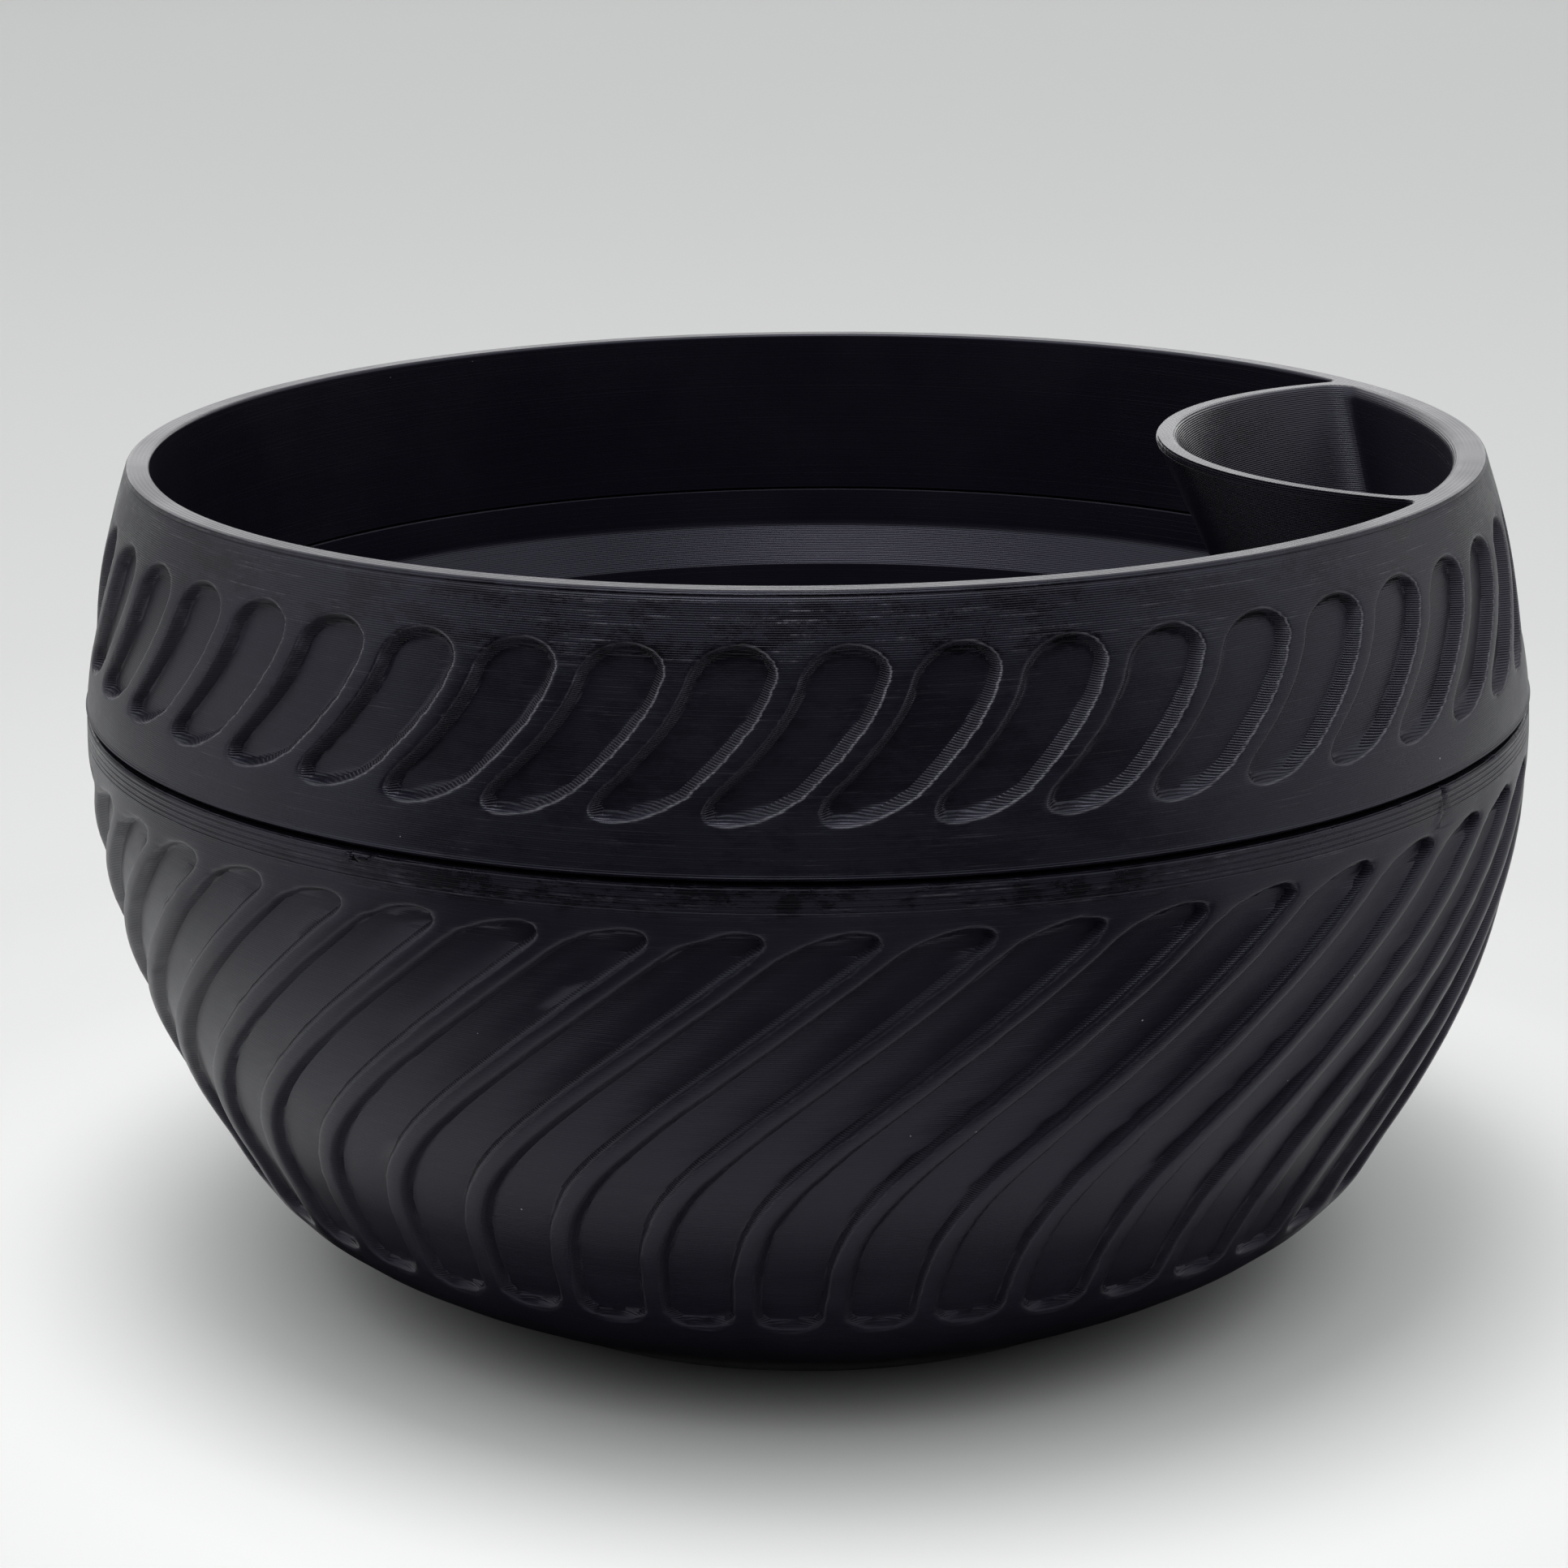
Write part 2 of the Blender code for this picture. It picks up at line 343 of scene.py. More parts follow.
def ramp(t, rounding, crease):
    """Rises from 0 to 1 as t does, with a rounded start and a tighter end."""
    slope = 1.0 / (1.0 - rounding / 2.0 - crease / 2.0)
    t = np.clip(t, 0.0, 1.0)
    start = slope * t**2 / (2.0 * rounding)
    middle = slope * (t - rounding / 2.0)
    end = 1.0 - slope * (1.0 - t) ** 2 / (2.0 * crease)
    return np.where(t < rounding, start, np.where(t > 1.0 - crease, end, middle))


def recess_depth(offset, z, radius, slots, swirl, ragged):
    """How deep the recesses are pressed in at angles offset from their lines, at height z.

    The trace that comes with it is the distance into the outline, in millimetres, and how far
    the outline's nearest part faces to the right.

    A recess's side runs along its line and its ends are ellipses in the sheared plane of the
    line. The distance to that outline sets the depth, over a wall of its own width per side.
    """
    left, right = np.radians(slots["edge"])
    half = radius * (right - left) / 2.0
    aside = wrapped(offset, (left + right) / 2.0, PITCH)
    across = radius * aside / half
    beyond = into_cap(z, slots)
    inside = 1.0 - across**2 - beyond**2
    lean = (swirl(z + 0.05 * MM) - swirl(z - 0.05 * MM)) / (0.1 * MM) * radius
    out_x = 2.0 * across / half
    out_z = 2.0 * beyond / slots["cap"] - out_x * lean
    steepness = np.sqrt(out_x**2 + out_z**2) + 1e-9
    out_x, out_z = out_x / steepness, out_z / steepness
    wall = slots["wall"]
    width = np.where(out_x < 0, wall["left"], wall["right"]) * out_x**2
    width += np.where(out_z < 0, wall["bottom"], wall["top"]) * out_z**2
    distance = inside / steepness + ragged
    sunk = ramp(distance / width + WALL_START, slots["rounding"], slots["crease"])
    fall = slots["crown"] * np.exp(-np.maximum(-distance, 0.0) / CROWN_REACH)
    trace = np.stack([np.clip(distance / MM, -TRACE_LIMIT, TRACE_LIMIT), out_x], axis=1)
    return SLOT_DEPTH * sunk + fall * (1.0 - sunk), trace


def plain_columns(slots, swirl, z):
    """Azimuths of all the columns at a height outside the recesses."""
    place = squeezed(column_offsets(slots), z, slots)
    turn = (np.arange(SLOT_COUNT)[:, None] * PITCH + place[None, :]).ravel() + swirl(z)
    return gathered(turn, z)


GATHER_REACH = math.radians(2.6)


def gathered(turn, z):
    """Azimuths drawn together at the print seam and the tear, above the bowl's recesses."""
    share = float(np.clip((z - BOWL_SLOTS["high"]) / MM, 0.0, 1.0)) * (z < RING_EDGE_Z)
    for centre in (PRINT_SEAM, TEAR_START):
        away = wrapped(turn, centre) / GATHER_REACH
        near = np.sign(away) * np.abs(away) ** (1.0 + 0.8 * share)
        turn = turn + np.where(np.abs(away) < 1.0, near - away, 0.0) * GATHER_REACH
    return turn


def relief_loops(shell, rows, slots, swirl, detail, seed):
    """Loops of the outside at the heights rows, with the recesses and detail pressed in."""
    offsets = column_offsets(slots)
    slot = np.repeat(np.arange(SLOT_COUNT), len(offsets))
    offset = np.tile(offsets, SLOT_COUNT)
    rng = np.random.default_rng(seed)
    layers = int(RIM_Z / LAYER) + 2
    rough = rng.normal(0.0, 1.0, (layers, SLOT_COUNT, 2))
    rough = (rough + np.roll(rough, 1, 0) + np.roll(rough, 2, 0)) / math.sqrt(3.0)
    side = (offset > 0).astype(int)
    loops = []
    for z in rows:
        radius = float(outline_radius(np.array(z)))
        place = squeezed(offset, z, slots)
        turn = gathered(slot * PITCH + place + swirl(z), z)
        ragged = slots["ragged"] * rough[int(z / LAYER), slot, side]
        depth, trace = recess_depth(place, z, radius, slots, swirl, ragged)
        depth = depth + detail(turn, z)
        points = on_circle(radius - depth, turn, np.full(len(turn), z))
        loops.append(shell.loop(points, trace))
    return loops


def wrapped(turn, centre, period=FULL_TURN):
    """Signed angle from the nearest repeat of centre to turn."""
    return (turn - centre + period / 2.0) % period - period / 2.0


# ---- the lower bowl -------------------------------------------------------------------------
SEAM_LINES = [0.6 * MM, 1.2 * MM, 1.8 * MM, 2.3 * MM]       # below the bowl's edge
SEAM_LINE_DEPTH = 0.07 * MM
SEAM_LINE_HALF = 0.08 * MM     # half of a line's width
PRINT_SEAM = math.radians(52.5)
PRINT_SEAM_LEAN = math.radians(0.12)     # to the left, for each millimetre down
PRINT_SEAM_WIDTH = 0.26 * MM
SEAM_RIDGE, SEAM_GROOVE = 0.12 * MM, 0.16 * MM
GROOVE_ASIDE, PIT_ASIDE, PIT_SPREAD = 1.7, 0.8, 1.1      # in widths of the print seam
PIT_BELOW, PIT_HEIGHT, PIT_DEPTH = 0.4 * MM, 0.55 * MM, 0.55 * MM
TEAR_START = math.radians(-33.5)
TEAR_SLOPE = 1.1               # how steeply the slit runs down to the right
SLIT_LENGTH, SLIT_WIDTH, SLIT_DEPTH = 0.8 * MM, 0.15 * MM, 0.45 * MM
BURR_LENGTH, BURR_HEIGHT = 5.5 * MM, 0.65 * MM
BURR_ROUGH = (-0.06, 0.26)     # millimetres that it stands out
BURR_ROWS = [0.35 * MM, 0.44 * MM, 0.85 * MM, 0.95 * MM, 1.05 * MM]      # below the bowl's edge


def bowl_detail(turn, z):
    """Fine lines under the joint, a torn spot, and the upright print seam with its pit."""
    depth = np.zeros(len(turn))
    below_edge = BOWL_EDGE_Z - z
    for below in SEAM_LINES:
        depth += SEAM_LINE_DEPTH * max(0.0, 1.0 - abs(below_edge - below) / SEAM_LINE_HALF)
    if z > BOWL_SLOTS["high"]:
        # The print seam is a ridge with a groove to its right, which ends in a pit at the top.
        aside = wrapped(turn, PRINT_SEAM - PRINT_SEAM_LEAN * (below_edge / MM - 1.5))
        across = aside * LIP_OUTER_R / PRINT_SEAM_WIDTH
        depth -= SEAM_RIDGE * np.exp(-(across**2))
        depth += SEAM_GROOVE * np.exp(-((across - GROOVE_ASIDE) ** 2))
        pit = (below_edge - PIT_BELOW) / PIT_HEIGHT
        depth += PIT_DEPTH * np.exp(-((across - PIT_ASIDE) / PIT_SPREAD) ** 2 - pit**2)
        # The tear is a slit down to the right from the edge, with a ragged burr beside it.
        right = wrapped(turn, TEAR_START) * LIP_OUTER_R
        off_slit = (below_edge - TEAR_SLOPE * right) / math.hypot(1.0, TEAR_SLOPE)
        on_slit = (right > -0.1 * MM) & (right < SLIT_LENGTH)
        depth += SLIT_DEPTH * np.exp(-(off_slit / SLIT_WIDTH) ** 2) * on_slit
        along = (right - 0.3 * MM) / BURR_LENGTH
        low = BURR_HEIGHT * np.sqrt(np.clip(1.0 - along, 0.0, 1.0))
        burr = (along > 0.0) & (along < 1.0) & (below_edge < low) & (off_slit < -SLIT_WIDTH)
        rough = np.random.default_rng(round(z / (0.001 * MM))).uniform(*BURR_ROUGH, len(turn))
        depth -= rough * MM * burr
    return depth


def lower_bowl():
    """The bowl, from the middle of its base up the outside, over the lip and down inside."""
    shell = Shell()
    line_rows = [BOWL_EDGE_Z - below for below in BURR_ROWS]
    for below in SEAM_LINES:
        line_rows += [BOWL_EDGE_Z - below + side * SEAM_LINE_HALF for side in (-1, 0, 1)]
    rows = [
        *steps(0.5 * MM, BOWL_SLOTS["low"] - 0.3 * MM, 2.0 * MM),
        *slot_rows(BOWL_SLOTS, 13, 1.3 * MM),
        *steps(BOWL_SLOTS["high"] + 0.7 * MM, min(line_rows), 0.5 * MM),
        *sorted(line_rows),
        BOWL_EDGE_Z - BOWL_CHAMFER,
    ]
    outside = relief_loops(shell, rows, BOWL_SLOTS, bowl_swirl, bowl_detail, seed=3)
    columns = len(outside[0])

    foot_r = float(outline_radius(np.array(BASE_Z)))
    foot = [shell.circle(radius, z, columns) for radius, z in rounded(
        [
            (foot_r - 1.5 * MM, BASE_Z),
            (foot_r, BASE_Z, 0.5 * MM),
            (float(outline_radius(np.array(rows[0]))), rows[0]),
        ]
    )[:-1]]
    # The foot's loops start where the columns of the lowest row do.
    first_turn = squeezed(column_offsets(BOWL_SLOTS), rows[0], BOWL_SLOTS)[0] + bowl_swirl(rows[0])
    start = round((first_turn % FULL_TURN) / FULL_TURN * columns)
    foot = [np.roll(loop, -start) for loop in foot]
    shell.run(foot + outside)
    shell.lid([foot[0]], facing_up=False)

    turn = plain_columns(BOWL_SLOTS, bowl_swirl, BOWL_EDGE_Z)
    uneven = np.random.default_rng(21).uniform(-0.5, 0.5, (2, columns)) * 0.05 * MM
    uneven = (uneven + np.roll(uneven, 1, 1) + np.roll(uneven, 2, 1)) / 2.0
    edge_r = float(outline_radius(np.array(BOWL_EDGE_Z))) - BOWL_CHAMFER + uneven[0]
    edge_r = edge_r - np.maximum(bowl_detail(turn, BOWL_EDGE_Z), 0.0)
    edge = shell.loop(on_circle(edge_r, turn, BOWL_EDGE_Z + uneven[1]))
    shell.strip(outside[-1], edge)

    section = rounded(
        [
            (LIP_OUTER_R + 0.6 * MM, BOWL_EDGE_Z),
            (LIP_OUTER_R, BOWL_EDGE_Z, 0.3 * MM),
            (LIP_OUTER_R, LIP_TOP_Z, 0.3 * MM),
            (LIP_INNER_R, LIP_TOP_Z, 0.15 * MM),
            (LIP_INNER_R + LIP_LEAN, SHOULDER_TOP_Z, 1.5 * MM),
            (SHOULDER_R, SHOULDER_LOW_Z, 0.3 * MM),
            (SHOULDER_R, WALL_FOOT_Z + 1.0 * MM),
        ]
    )
    turn = math.acos(FLOOR_EDGE) * np.linspace(0.0, 1.0, 19)
    depth = (WALL_FOOT_Z - FLOOR_Z) * np.sin(turn) / math.sin(math.acos(FLOOR_EDGE))
    section += list(zip(SHOULDER_R * np.cos(turn), WALL_FOOT_Z - depth))
    inside = [shell.circle(radius, z, 240) for radius, z in section]
    shell.bridge(edge, inside[0])
    shell.run(inside)
    shell.lid([inside[-1]], facing_up=True)
    return shell.build("lower_bowl_print")


# ---- the ring and its pocket ----------------------------------------------------------------
NOTCH_R = 0.9 * MM             # fillet where the pocket's wall meets the ring's inside
CORNER_R = 3.0 * MM            # fillet in the pocket's two corners
RING_ARC, POCKET_ARC, FILLET_ARC = 150, 64, 6      # points on each arc of the outlines
BEHIND_STEPS = 60              # steps round the ring's inside, under the pocket


def pocket_frame(points_x, points_y, z):
    """Points given along and across the pocket's direction, in the row frame."""
    ahead = np.array([math.sin(POCKET_AZIMUTH), -math.cos(POCKET_AZIMUTH)])
    aside = np.array([math.cos(POCKET_AZIMUTH), math.sin(POCKET_AZIMUTH)])
    flat = np.outer(points_x, ahead) + np.outer(points_y, aside)
    return np.column_stack([flat, np.full(len(flat), z)])


def arc(centre_x, centre_y, radius, start, end, count):
    turn = np.linspace(start, end, count)
    return np.stack([centre_x + radius * np.cos(turn), centre_y + radius * np.sin(turn)], axis=1)


def opening_outline(ring_r, pocket_r, fillet):
    """Outline of the yarn opening: the ring's inside, notched by the pocket's round wall."""
    from_ring, from_pocket = ring_r - fillet, pocket_r + fillet
    x = (from_ring**2 - from_pocket**2 + POCKET_AXIS_R**2) / (2.0 * POCKET_AXIS_R)
    y = math.sqrt(from_ring**2 - x**2)
    ring_turn = math.atan2(y, x)
    pocket_turn = math.atan2(y, x - POCKET_AXIS_R)
    fillet_turn = math.atan2(-y, POCKET_AXIS_R - x)
    return np.concatenate([
        arc(0, 0, ring_r, ring_turn, FULL_TURN - ring_turn, RING_ARC),
        arc(x, -y, fillet, -ring_turn, -fillet_turn, FILLET_ARC)[1:-1],
        arc(POCKET_AXIS_R, 0, pocket_r, FULL_TURN - pocket_turn, pocket_turn, POCKET_ARC),
        arc(x, y, fillet, fillet_turn, ring_turn, FILLET_ARC)[1:-1],
    ])


def cavity_outline(back_r, pocket_r, fillet):
    """Outline of the pocket's hollow, between its round wall and the ring."""
    from_back, from_pocket = back_r - fillet, pocket_r - fillet
    x = (from_back**2 - from_pocket**2 + POCKET_AXIS_R**2) / (2.0 * POCKET_AXIS_R)
    y = math.sqrt(from_back**2 - x**2)
    back_turn = math.atan2(y, x)
    pocket_turn = math.atan2(y, x - POCKET_AXIS_R)
    return np.concatenate([
        arc(0, 0, back_r, -back_turn, back_turn, POCKET_ARC),
        arc(x, y, fillet, back_turn, pocket_turn, 2 * FILLET_ARC)[1:-1],
        arc(POCKET_AXIS_R, 0, pocket_r, pocket_turn, FULL_TURN - pocket_turn, POCKET_ARC),
        arc(x, -y, fillet, FULL_TURN - pocket_turn, FULL_TURN - back_turn, 2 * FILLET_ARC)[1:-1],
    ])


def edge_inset(depth, radius):
    """How far a rounded edge stands back at a depth below the top face."""
    short = max(radius - depth, 0.0)
    return radius - math.sqrt(radius**2 - short**2)


def pocket_outer_r(z):
    return POCKET_TOP_R - POCKET_TAPER * (RIM_Z - z)


def ring_inner_r(z):
    foot_z = LIP_TOP_Z + FIT_GAP
    return LIP_INNER_R + (RIM_INNER_R - LIP_INNER_R) * (z - foot_z) / (RIM_Z - foot_z)


def terraces(radius):
    """Depths at which a rounded edge steps from one printed layer to the next."""
    depths = []
    for i in range(math.ceil(radius / LAYER)):
        depths.append((i * LAYER, (i + 0.5) * LAYER))
        depths.append(((i + 0.96) * LAYER, (i + 0.5) * LAYER))
    return depths


def opening_loops(shell):
    """The ring's inside and the pocket's outside, from the top face down to the underside."""
    ring_edge, pocket_edge = 0.35 * MM, 0.9 * MM
    loops = []

    def add(z, ring_inset, pocket_inset):
        outline = opening_outline(
            ring_inner_r(z) + ring_inset,
            pocket_outer_r(z) - pocket_inset,
            NOTCH_R + max(ring_inset, pocket_inset),
        )
        loops.append(shell.loop(pocket_frame(outline[:, 0], outline[:, 1], z)))

    add(RIM_Z, ring_edge + 0.1 * MM, pocket_edge + 0.1 * MM)
    for depth, level in terraces(pocket_edge):
        add(RIM_Z - depth, edge_inset(depth, ring_edge), edge_inset(level, pocket_edge))
    under_z = POCKET_FLOOR_Z - POCKET_WALL
    for z in steps(RIM_Z - pocket_edge - LAYER, under_z + 0.5 * MM, 1.2 * MM):
        add(z, 0.0, 0.0)
    add(under_z + 0.5 * MM, 0.0, 0.0)
    add(under_z, 0.0, 0.5 * MM)
    return loops


def cavity_loops(shell):
    """The pocket's hollow, from the top face down to its floor."""
    back_edge, wall_edge, floor_fillet = 1.2 * MM, 0.5 * MM, 2.0 * MM
    loops = []

    def add(z, grow_back, grow_wall):
        outline = cavity_outline(
            POCKET_BACK_R + grow_back,
            pocket_outer_r(z) - POCKET_WALL + grow_wall,
            CORNER_R + min(grow_back, grow_wall),
        )
        loops.append(shell.loop(pocket_frame(outline[:, 0], outline[:, 1], z)))

    add(RIM_Z, back_edge + 0.1 * MM, wall_edge + 0.1 * MM)
    for depth in np.linspace(0.0, 1.0, 8) ** 1.6 * back_edge:
        add(RIM_Z - depth, edge_inset(depth, back_edge), edge_inset(depth, wall_edge))
    for z in steps(RIM_Z - 1.6 * MM, POCKET_FLOOR_Z + floor_fillet, 1.2 * MM):
        add(z, 0.0, 0.0)
    for turn in np.linspace(0.0, math.pi / 2.0, 6):
        inset = floor_fillet * (1.0 - math.cos(turn))
        add(POCKET_FLOOR_Z + floor_fillet * (1.0 - math.sin(turn)), -inset, -inset)
    return loops


RIM_LINE_HALF = 0.09 * MM      # half of the width of the line below the rim
RIM_LINE_DEPTH = 0.08 * MM
NICKS = 26


def ring_detail(turn, z):
    """Small nicks in both edges, a bulge at the lowest layers and a fine line below the rim."""
    generator = np.random.default_rng(11)
    above_edge = (z - RING_EDGE_Z - EDGE_CHAMFER) / (0.35 * MM)
    depth = np.full(len(turn), -FIRST_LAYER_BULGE * max(0.0, 1.0 - above_edge))
    depth += RIM_LINE_DEPTH * max(0.0, 1.0 - abs(RIM_Z - RIM_LINE - z) / RIM_LINE_HALF)
    for _ in range(NICKS):
        centre = generator.uniform(-math.pi, math.pi)
        width, deep = generator.uniform(0.4, 1.6) * MM, generator.uniform(0.04, 0.12) * MM
        edge_z = RIM_Z if generator.random() < 0.6 else RING_EDGE_Z
        across = wrapped(turn, centre) * LIP_OUTER_R / width
        depth += deep * np.exp(-across**2 - ((z - edge_z) / (0.5 * MM)) ** 2)
    return depth


def rim_ring():
    """The ring, from its lower edge up the outside, over the rim and pocket, down to its rebate."""
    shell = Shell()
    top_edge = 0.3 * MM
    rows = [
        RING_EDGE_Z + EDGE_CHAMFER,
        RING_EDGE_Z + EDGE_CHAMFER + 0.35 * MM,
        *steps(RING_EDGE_Z + 1.0 * MM, RING_SLOTS["low"] - 0.3 * MM, 0.8 * MM),
        *slot_rows(RING_SLOTS, 15, 0.4 * MM),
        *steps(RING_SLOTS["high"] + 0.7 * MM, RIM_Z - RIM_LINE - RIM_LINE_HALF, 0.6 * MM),
        *(RIM_Z - RIM_LINE + side * RIM_LINE_HALF for side in (-1, 0, 1)),
        RIM_Z - top_edge,
    ]
    outside = relief_loops(shell, rows, RING_SLOTS, ring_swirl, ring_detail, seed=5)
    columns = len(outside[0])

    def plain_loop(radius, z):
        turn = plain_columns(RING_SLOTS, ring_swirl, z)
        return shell.loop(on_circle(radius, turn, np.full(columns, z)))

    rim_r = float(outline_radius(np.array(RIM_Z)))
    top = [
        plain_loop(float(outline_radius(np.array(RIM_Z - depth))) - edge_inset(depth, top_edge),
                   RIM_Z - depth)
        for depth in (0.15 * MM, 0.04 * MM, 0.0)
    ]
    top.append(plain_loop(rim_r - top_edge - 0.1 * MM, RIM_Z))
    edge_r = float(outline_radius(np.array(RING_EDGE_Z))) - EDGE_CHAMFER
    edge = plain_loop(edge_r, RING_EDGE_Z)
    shell.run([edge, *outside, *top])

    opening = opening_loops(shell)
    cavity = cavity_loops(shell)
    shell.lid([top[-1], opening[0], cavity[0]], facing_up=True)
    shell.run(opening)
    shell.run(cavity)
    shell.lid([cavity[-1]], facing_up=True)

    # Under the pocket the ring's inside is a full circle again.
    under_z = POCKET_FLOOR_Z - POCKET_WALL
    long_arc = opening[-1][:RING_ARC]
    notch = np.concatenate([opening[-1][RING_ARC - 1:], opening[-1][:1]])
    start, end = shell.placed(long_arc[[-1, 0]])
    start_turn, end_turn = (math.atan2(p[0], -p[1]) for p in (start, end))
    span = (end_turn - start_turn) % FULL_TURN
    behind_turn = start_turn + span * np.arange(1, BEHIND_STEPS) / BEHIND_STEPS
    under_r = math.hypot(start[0], start[1])
    behind = shell.loop(on_circle(under_r, behind_turn, np.full(len(behind_turn), under_z)))
    shell.lid([np.concatenate([notch, behind[::-1]])], facing_up=False)
    circle = np.concatenate([long_arc, behind])
    circle_turn = np.array([math.atan2(p[0], -p[1]) for p in shell.placed(circle)])
    rebate_z, rebate_r = LIP_TOP_Z + FIT_GAP, LIP_OUTER_R + FIT_GAP
    section = rounded(
        [
            (LIP_INNER_R, rebate_z + 0.05 * MM),
            (LIP_INNER_R, rebate_z, 0.0),
            (rebate_r, rebate_z, 0.3 * MM),
            (rebate_r, RING_EDGE_Z, 0.3 * MM),
            (rebate_r + 0.6 * MM, RING_EDGE_Z),
        ]
    )
    under = [
        shell.loop(on_circle(radius, circle_turn, np.full(len(circle), z)))
        for radius, z in section
    ]
    shell.run([circle, *under])
    shell.bridge(under[-1], edge)
    return shell.build("rim_ring_print")


# ---- material -------------------------------------------------------------------------------
class Graph:
    """Short calls for building the nodes of a material or of the world."""

    def __init__(self, owner):
        owner.use_nodes = True
        self.tree = owner.node_tree
        self.shader = self.tree.nodes.get("Principled BSDF")

    def node(self, kind, **settings):
        made = self.tree.nodes.new(kind)
        for name, value in settings.items():
            setattr(made, name, value)
        return made

    def set(self, socket, value):
        if hasattr(value, "is_output"):
            self.tree.links.new(value, socket)
        else:
            socket.default_value = value

    def math(self, operation, *values):
        made = self.node("ShaderNodeMath", operation=operation)
        for socket, value in zip(made.inputs, values):
            self.set(socket, value)
        return made.outputs[0]

    def noise(self, vector, scale, detail=2.0, roughness=0.5):
        made = self.node("ShaderNodeTexNoise")
        self.set(made.inputs["Vector"], vector)
        for name, value in (("Scale", scale), ("Detail", detail), ("Roughness", roughness)):
            made.inputs[name].default_value = value
        return made.outputs["Fac"]

    def span(self, value, low, high, to_low=0.0, to_high=1.0, smooth=True):
        made = self.node("ShaderNodeMapRange")
        made.interpolation_type = "SMOOTHSTEP" if smooth else "LINEAR"
        for socket, number in zip(made.inputs, (value, low, high, to_low, to_high)):
            self.set(socket, number)
        return made.outputs["Result"]

    def mix(self, share, first, second):
        made = self.node("ShaderNodeMix", data_type="RGBA")
        self.set(made.inputs["Factor"], share)
        self.set(made.inputs["A"], first)
        self.set(made.inputs["B"], second)
        return made.outputs["Result"]


PLASTIC = (0.0062, 0.0057, 0.0100, 1.0)
PLASTIC_WORN = (0.0090, 0.0084, 0.0135, 1.0)
# Painted dark reflection on the smoother patches.
PAINTED_DARK_REFLECTION = (0.0022, 0.0021, 0.0032, 1.0)
# Scuffed layer crests, and the painted highlight on the crests of the recesses' walls.
SCUFFS_AND_HIGHLIGHT = (0.062, 0.061, 0.070, 1.0)
DUST = (0.20, 0.20, 0.21, 1.0)
# Painted highlight along the recesses' edges.
EDGE_HIGHLIGHT = (0.105, 0.104, 0.115, 1.0)
BEAD_WIDTH = 0.42 * MM


def facing(graph, normal, level, radius, x, y):
    """Where faces look away from the axis, and where they turn aside, as recesses' walls do."""
    outwards = graph.math("ADD", graph.math("MULTIPLY", normal.outputs["X"], x),
                          graph.math("MULTIPLY", normal.outputs["Y"], y))
    outwards = graph.math("DIVIDE", outwards, radius)
    outside = graph.span(outwards, 0.1, 0.4)
    upright_share = graph.math("SQRT", graph.math("SUBTRACT", 1.0001, graph.math(
        "MULTIPLY", level, level)))
    aside = graph.math("ABSOLUTE", graph.math("DIVIDE", outwards, upright_share))
    aside = graph.span(aside, 0.97, 0.75)
    return outside, aside


def wear_and_reflection_noises(graph, x, y, z, index, seed):
    """Runs that differ from layer to layer, and patches that cross the layers."""
    by_layer = graph.node("ShaderNodeCombineXYZ")
    graph.set(by_layer.inputs[0], graph.math("ADD", x, seed))
    graph.set(by_layer.inputs[1], y)
    graph.set(by_layer.inputs[2], graph.math("MULTIPLY", index, 0.019))
    runs = graph.noise(by_layer.outputs[0], 90.0, 8.0, 0.72)
    flattened = graph.node("ShaderNodeCombineXYZ")
    graph.set(flattened.inputs[0], graph.math("ADD", x, seed))
    graph.set(flattened.inputs[1], y)
    graph.set(flattened.inputs[2], graph.math("MULTIPLY", z, 2.0))
    patches = graph.noise(flattened.outputs[0], 150.0, 12.0, 0.82)
    return runs, patches


def painted_edge_highlight(graph, own_offset, runs, highlight_strength):
    """A painted highlight: a thin pale line along the recesses' edges, strongest on the right of
    each.
    """
    into, to_right = (
        graph.node("ShaderNodeAttribute", attribute_name=trace).outputs["Fac"]
        for trace in ("edge_distance", "edge_side")
    )
    shift = graph.math("MULTIPLY", own_offset, 0.10)
    off_line = graph.math("ABSOLUTE", graph.math("ADD", into, shift))
    edge_line = graph.math("MULTIPLY", graph.span(off_line, 0.14, 0.03),
                           graph.span(to_right, -0.6, 0.8, 0.12, 1.0))
    edge_line = graph.math("MULTIPLY", edge_line, highlight_strength)
    return graph.math("MULTIPLY", edge_line, graph.span(runs, 0.35, 0.65, 0.35, 1.0))


def dust_specks(graph, place):
    """Small round specks, each of its own size."""
    cells = graph.node("ShaderNodeTexVoronoi")
    graph.set(cells.inputs["Vector"], place)
    cells.inputs["Scale"].default_value = 330.0
    size = graph.node("ShaderNodeSeparateColor")
    graph.set(size.inputs[0], cells.outputs["Color"])
    reach = graph.span(size.outputs["Red"], 0.90, 1.0, 0.0, 0.040, smooth=False)
    return graph.math("LESS_THAN", cells.outputs["Distance"], reach)


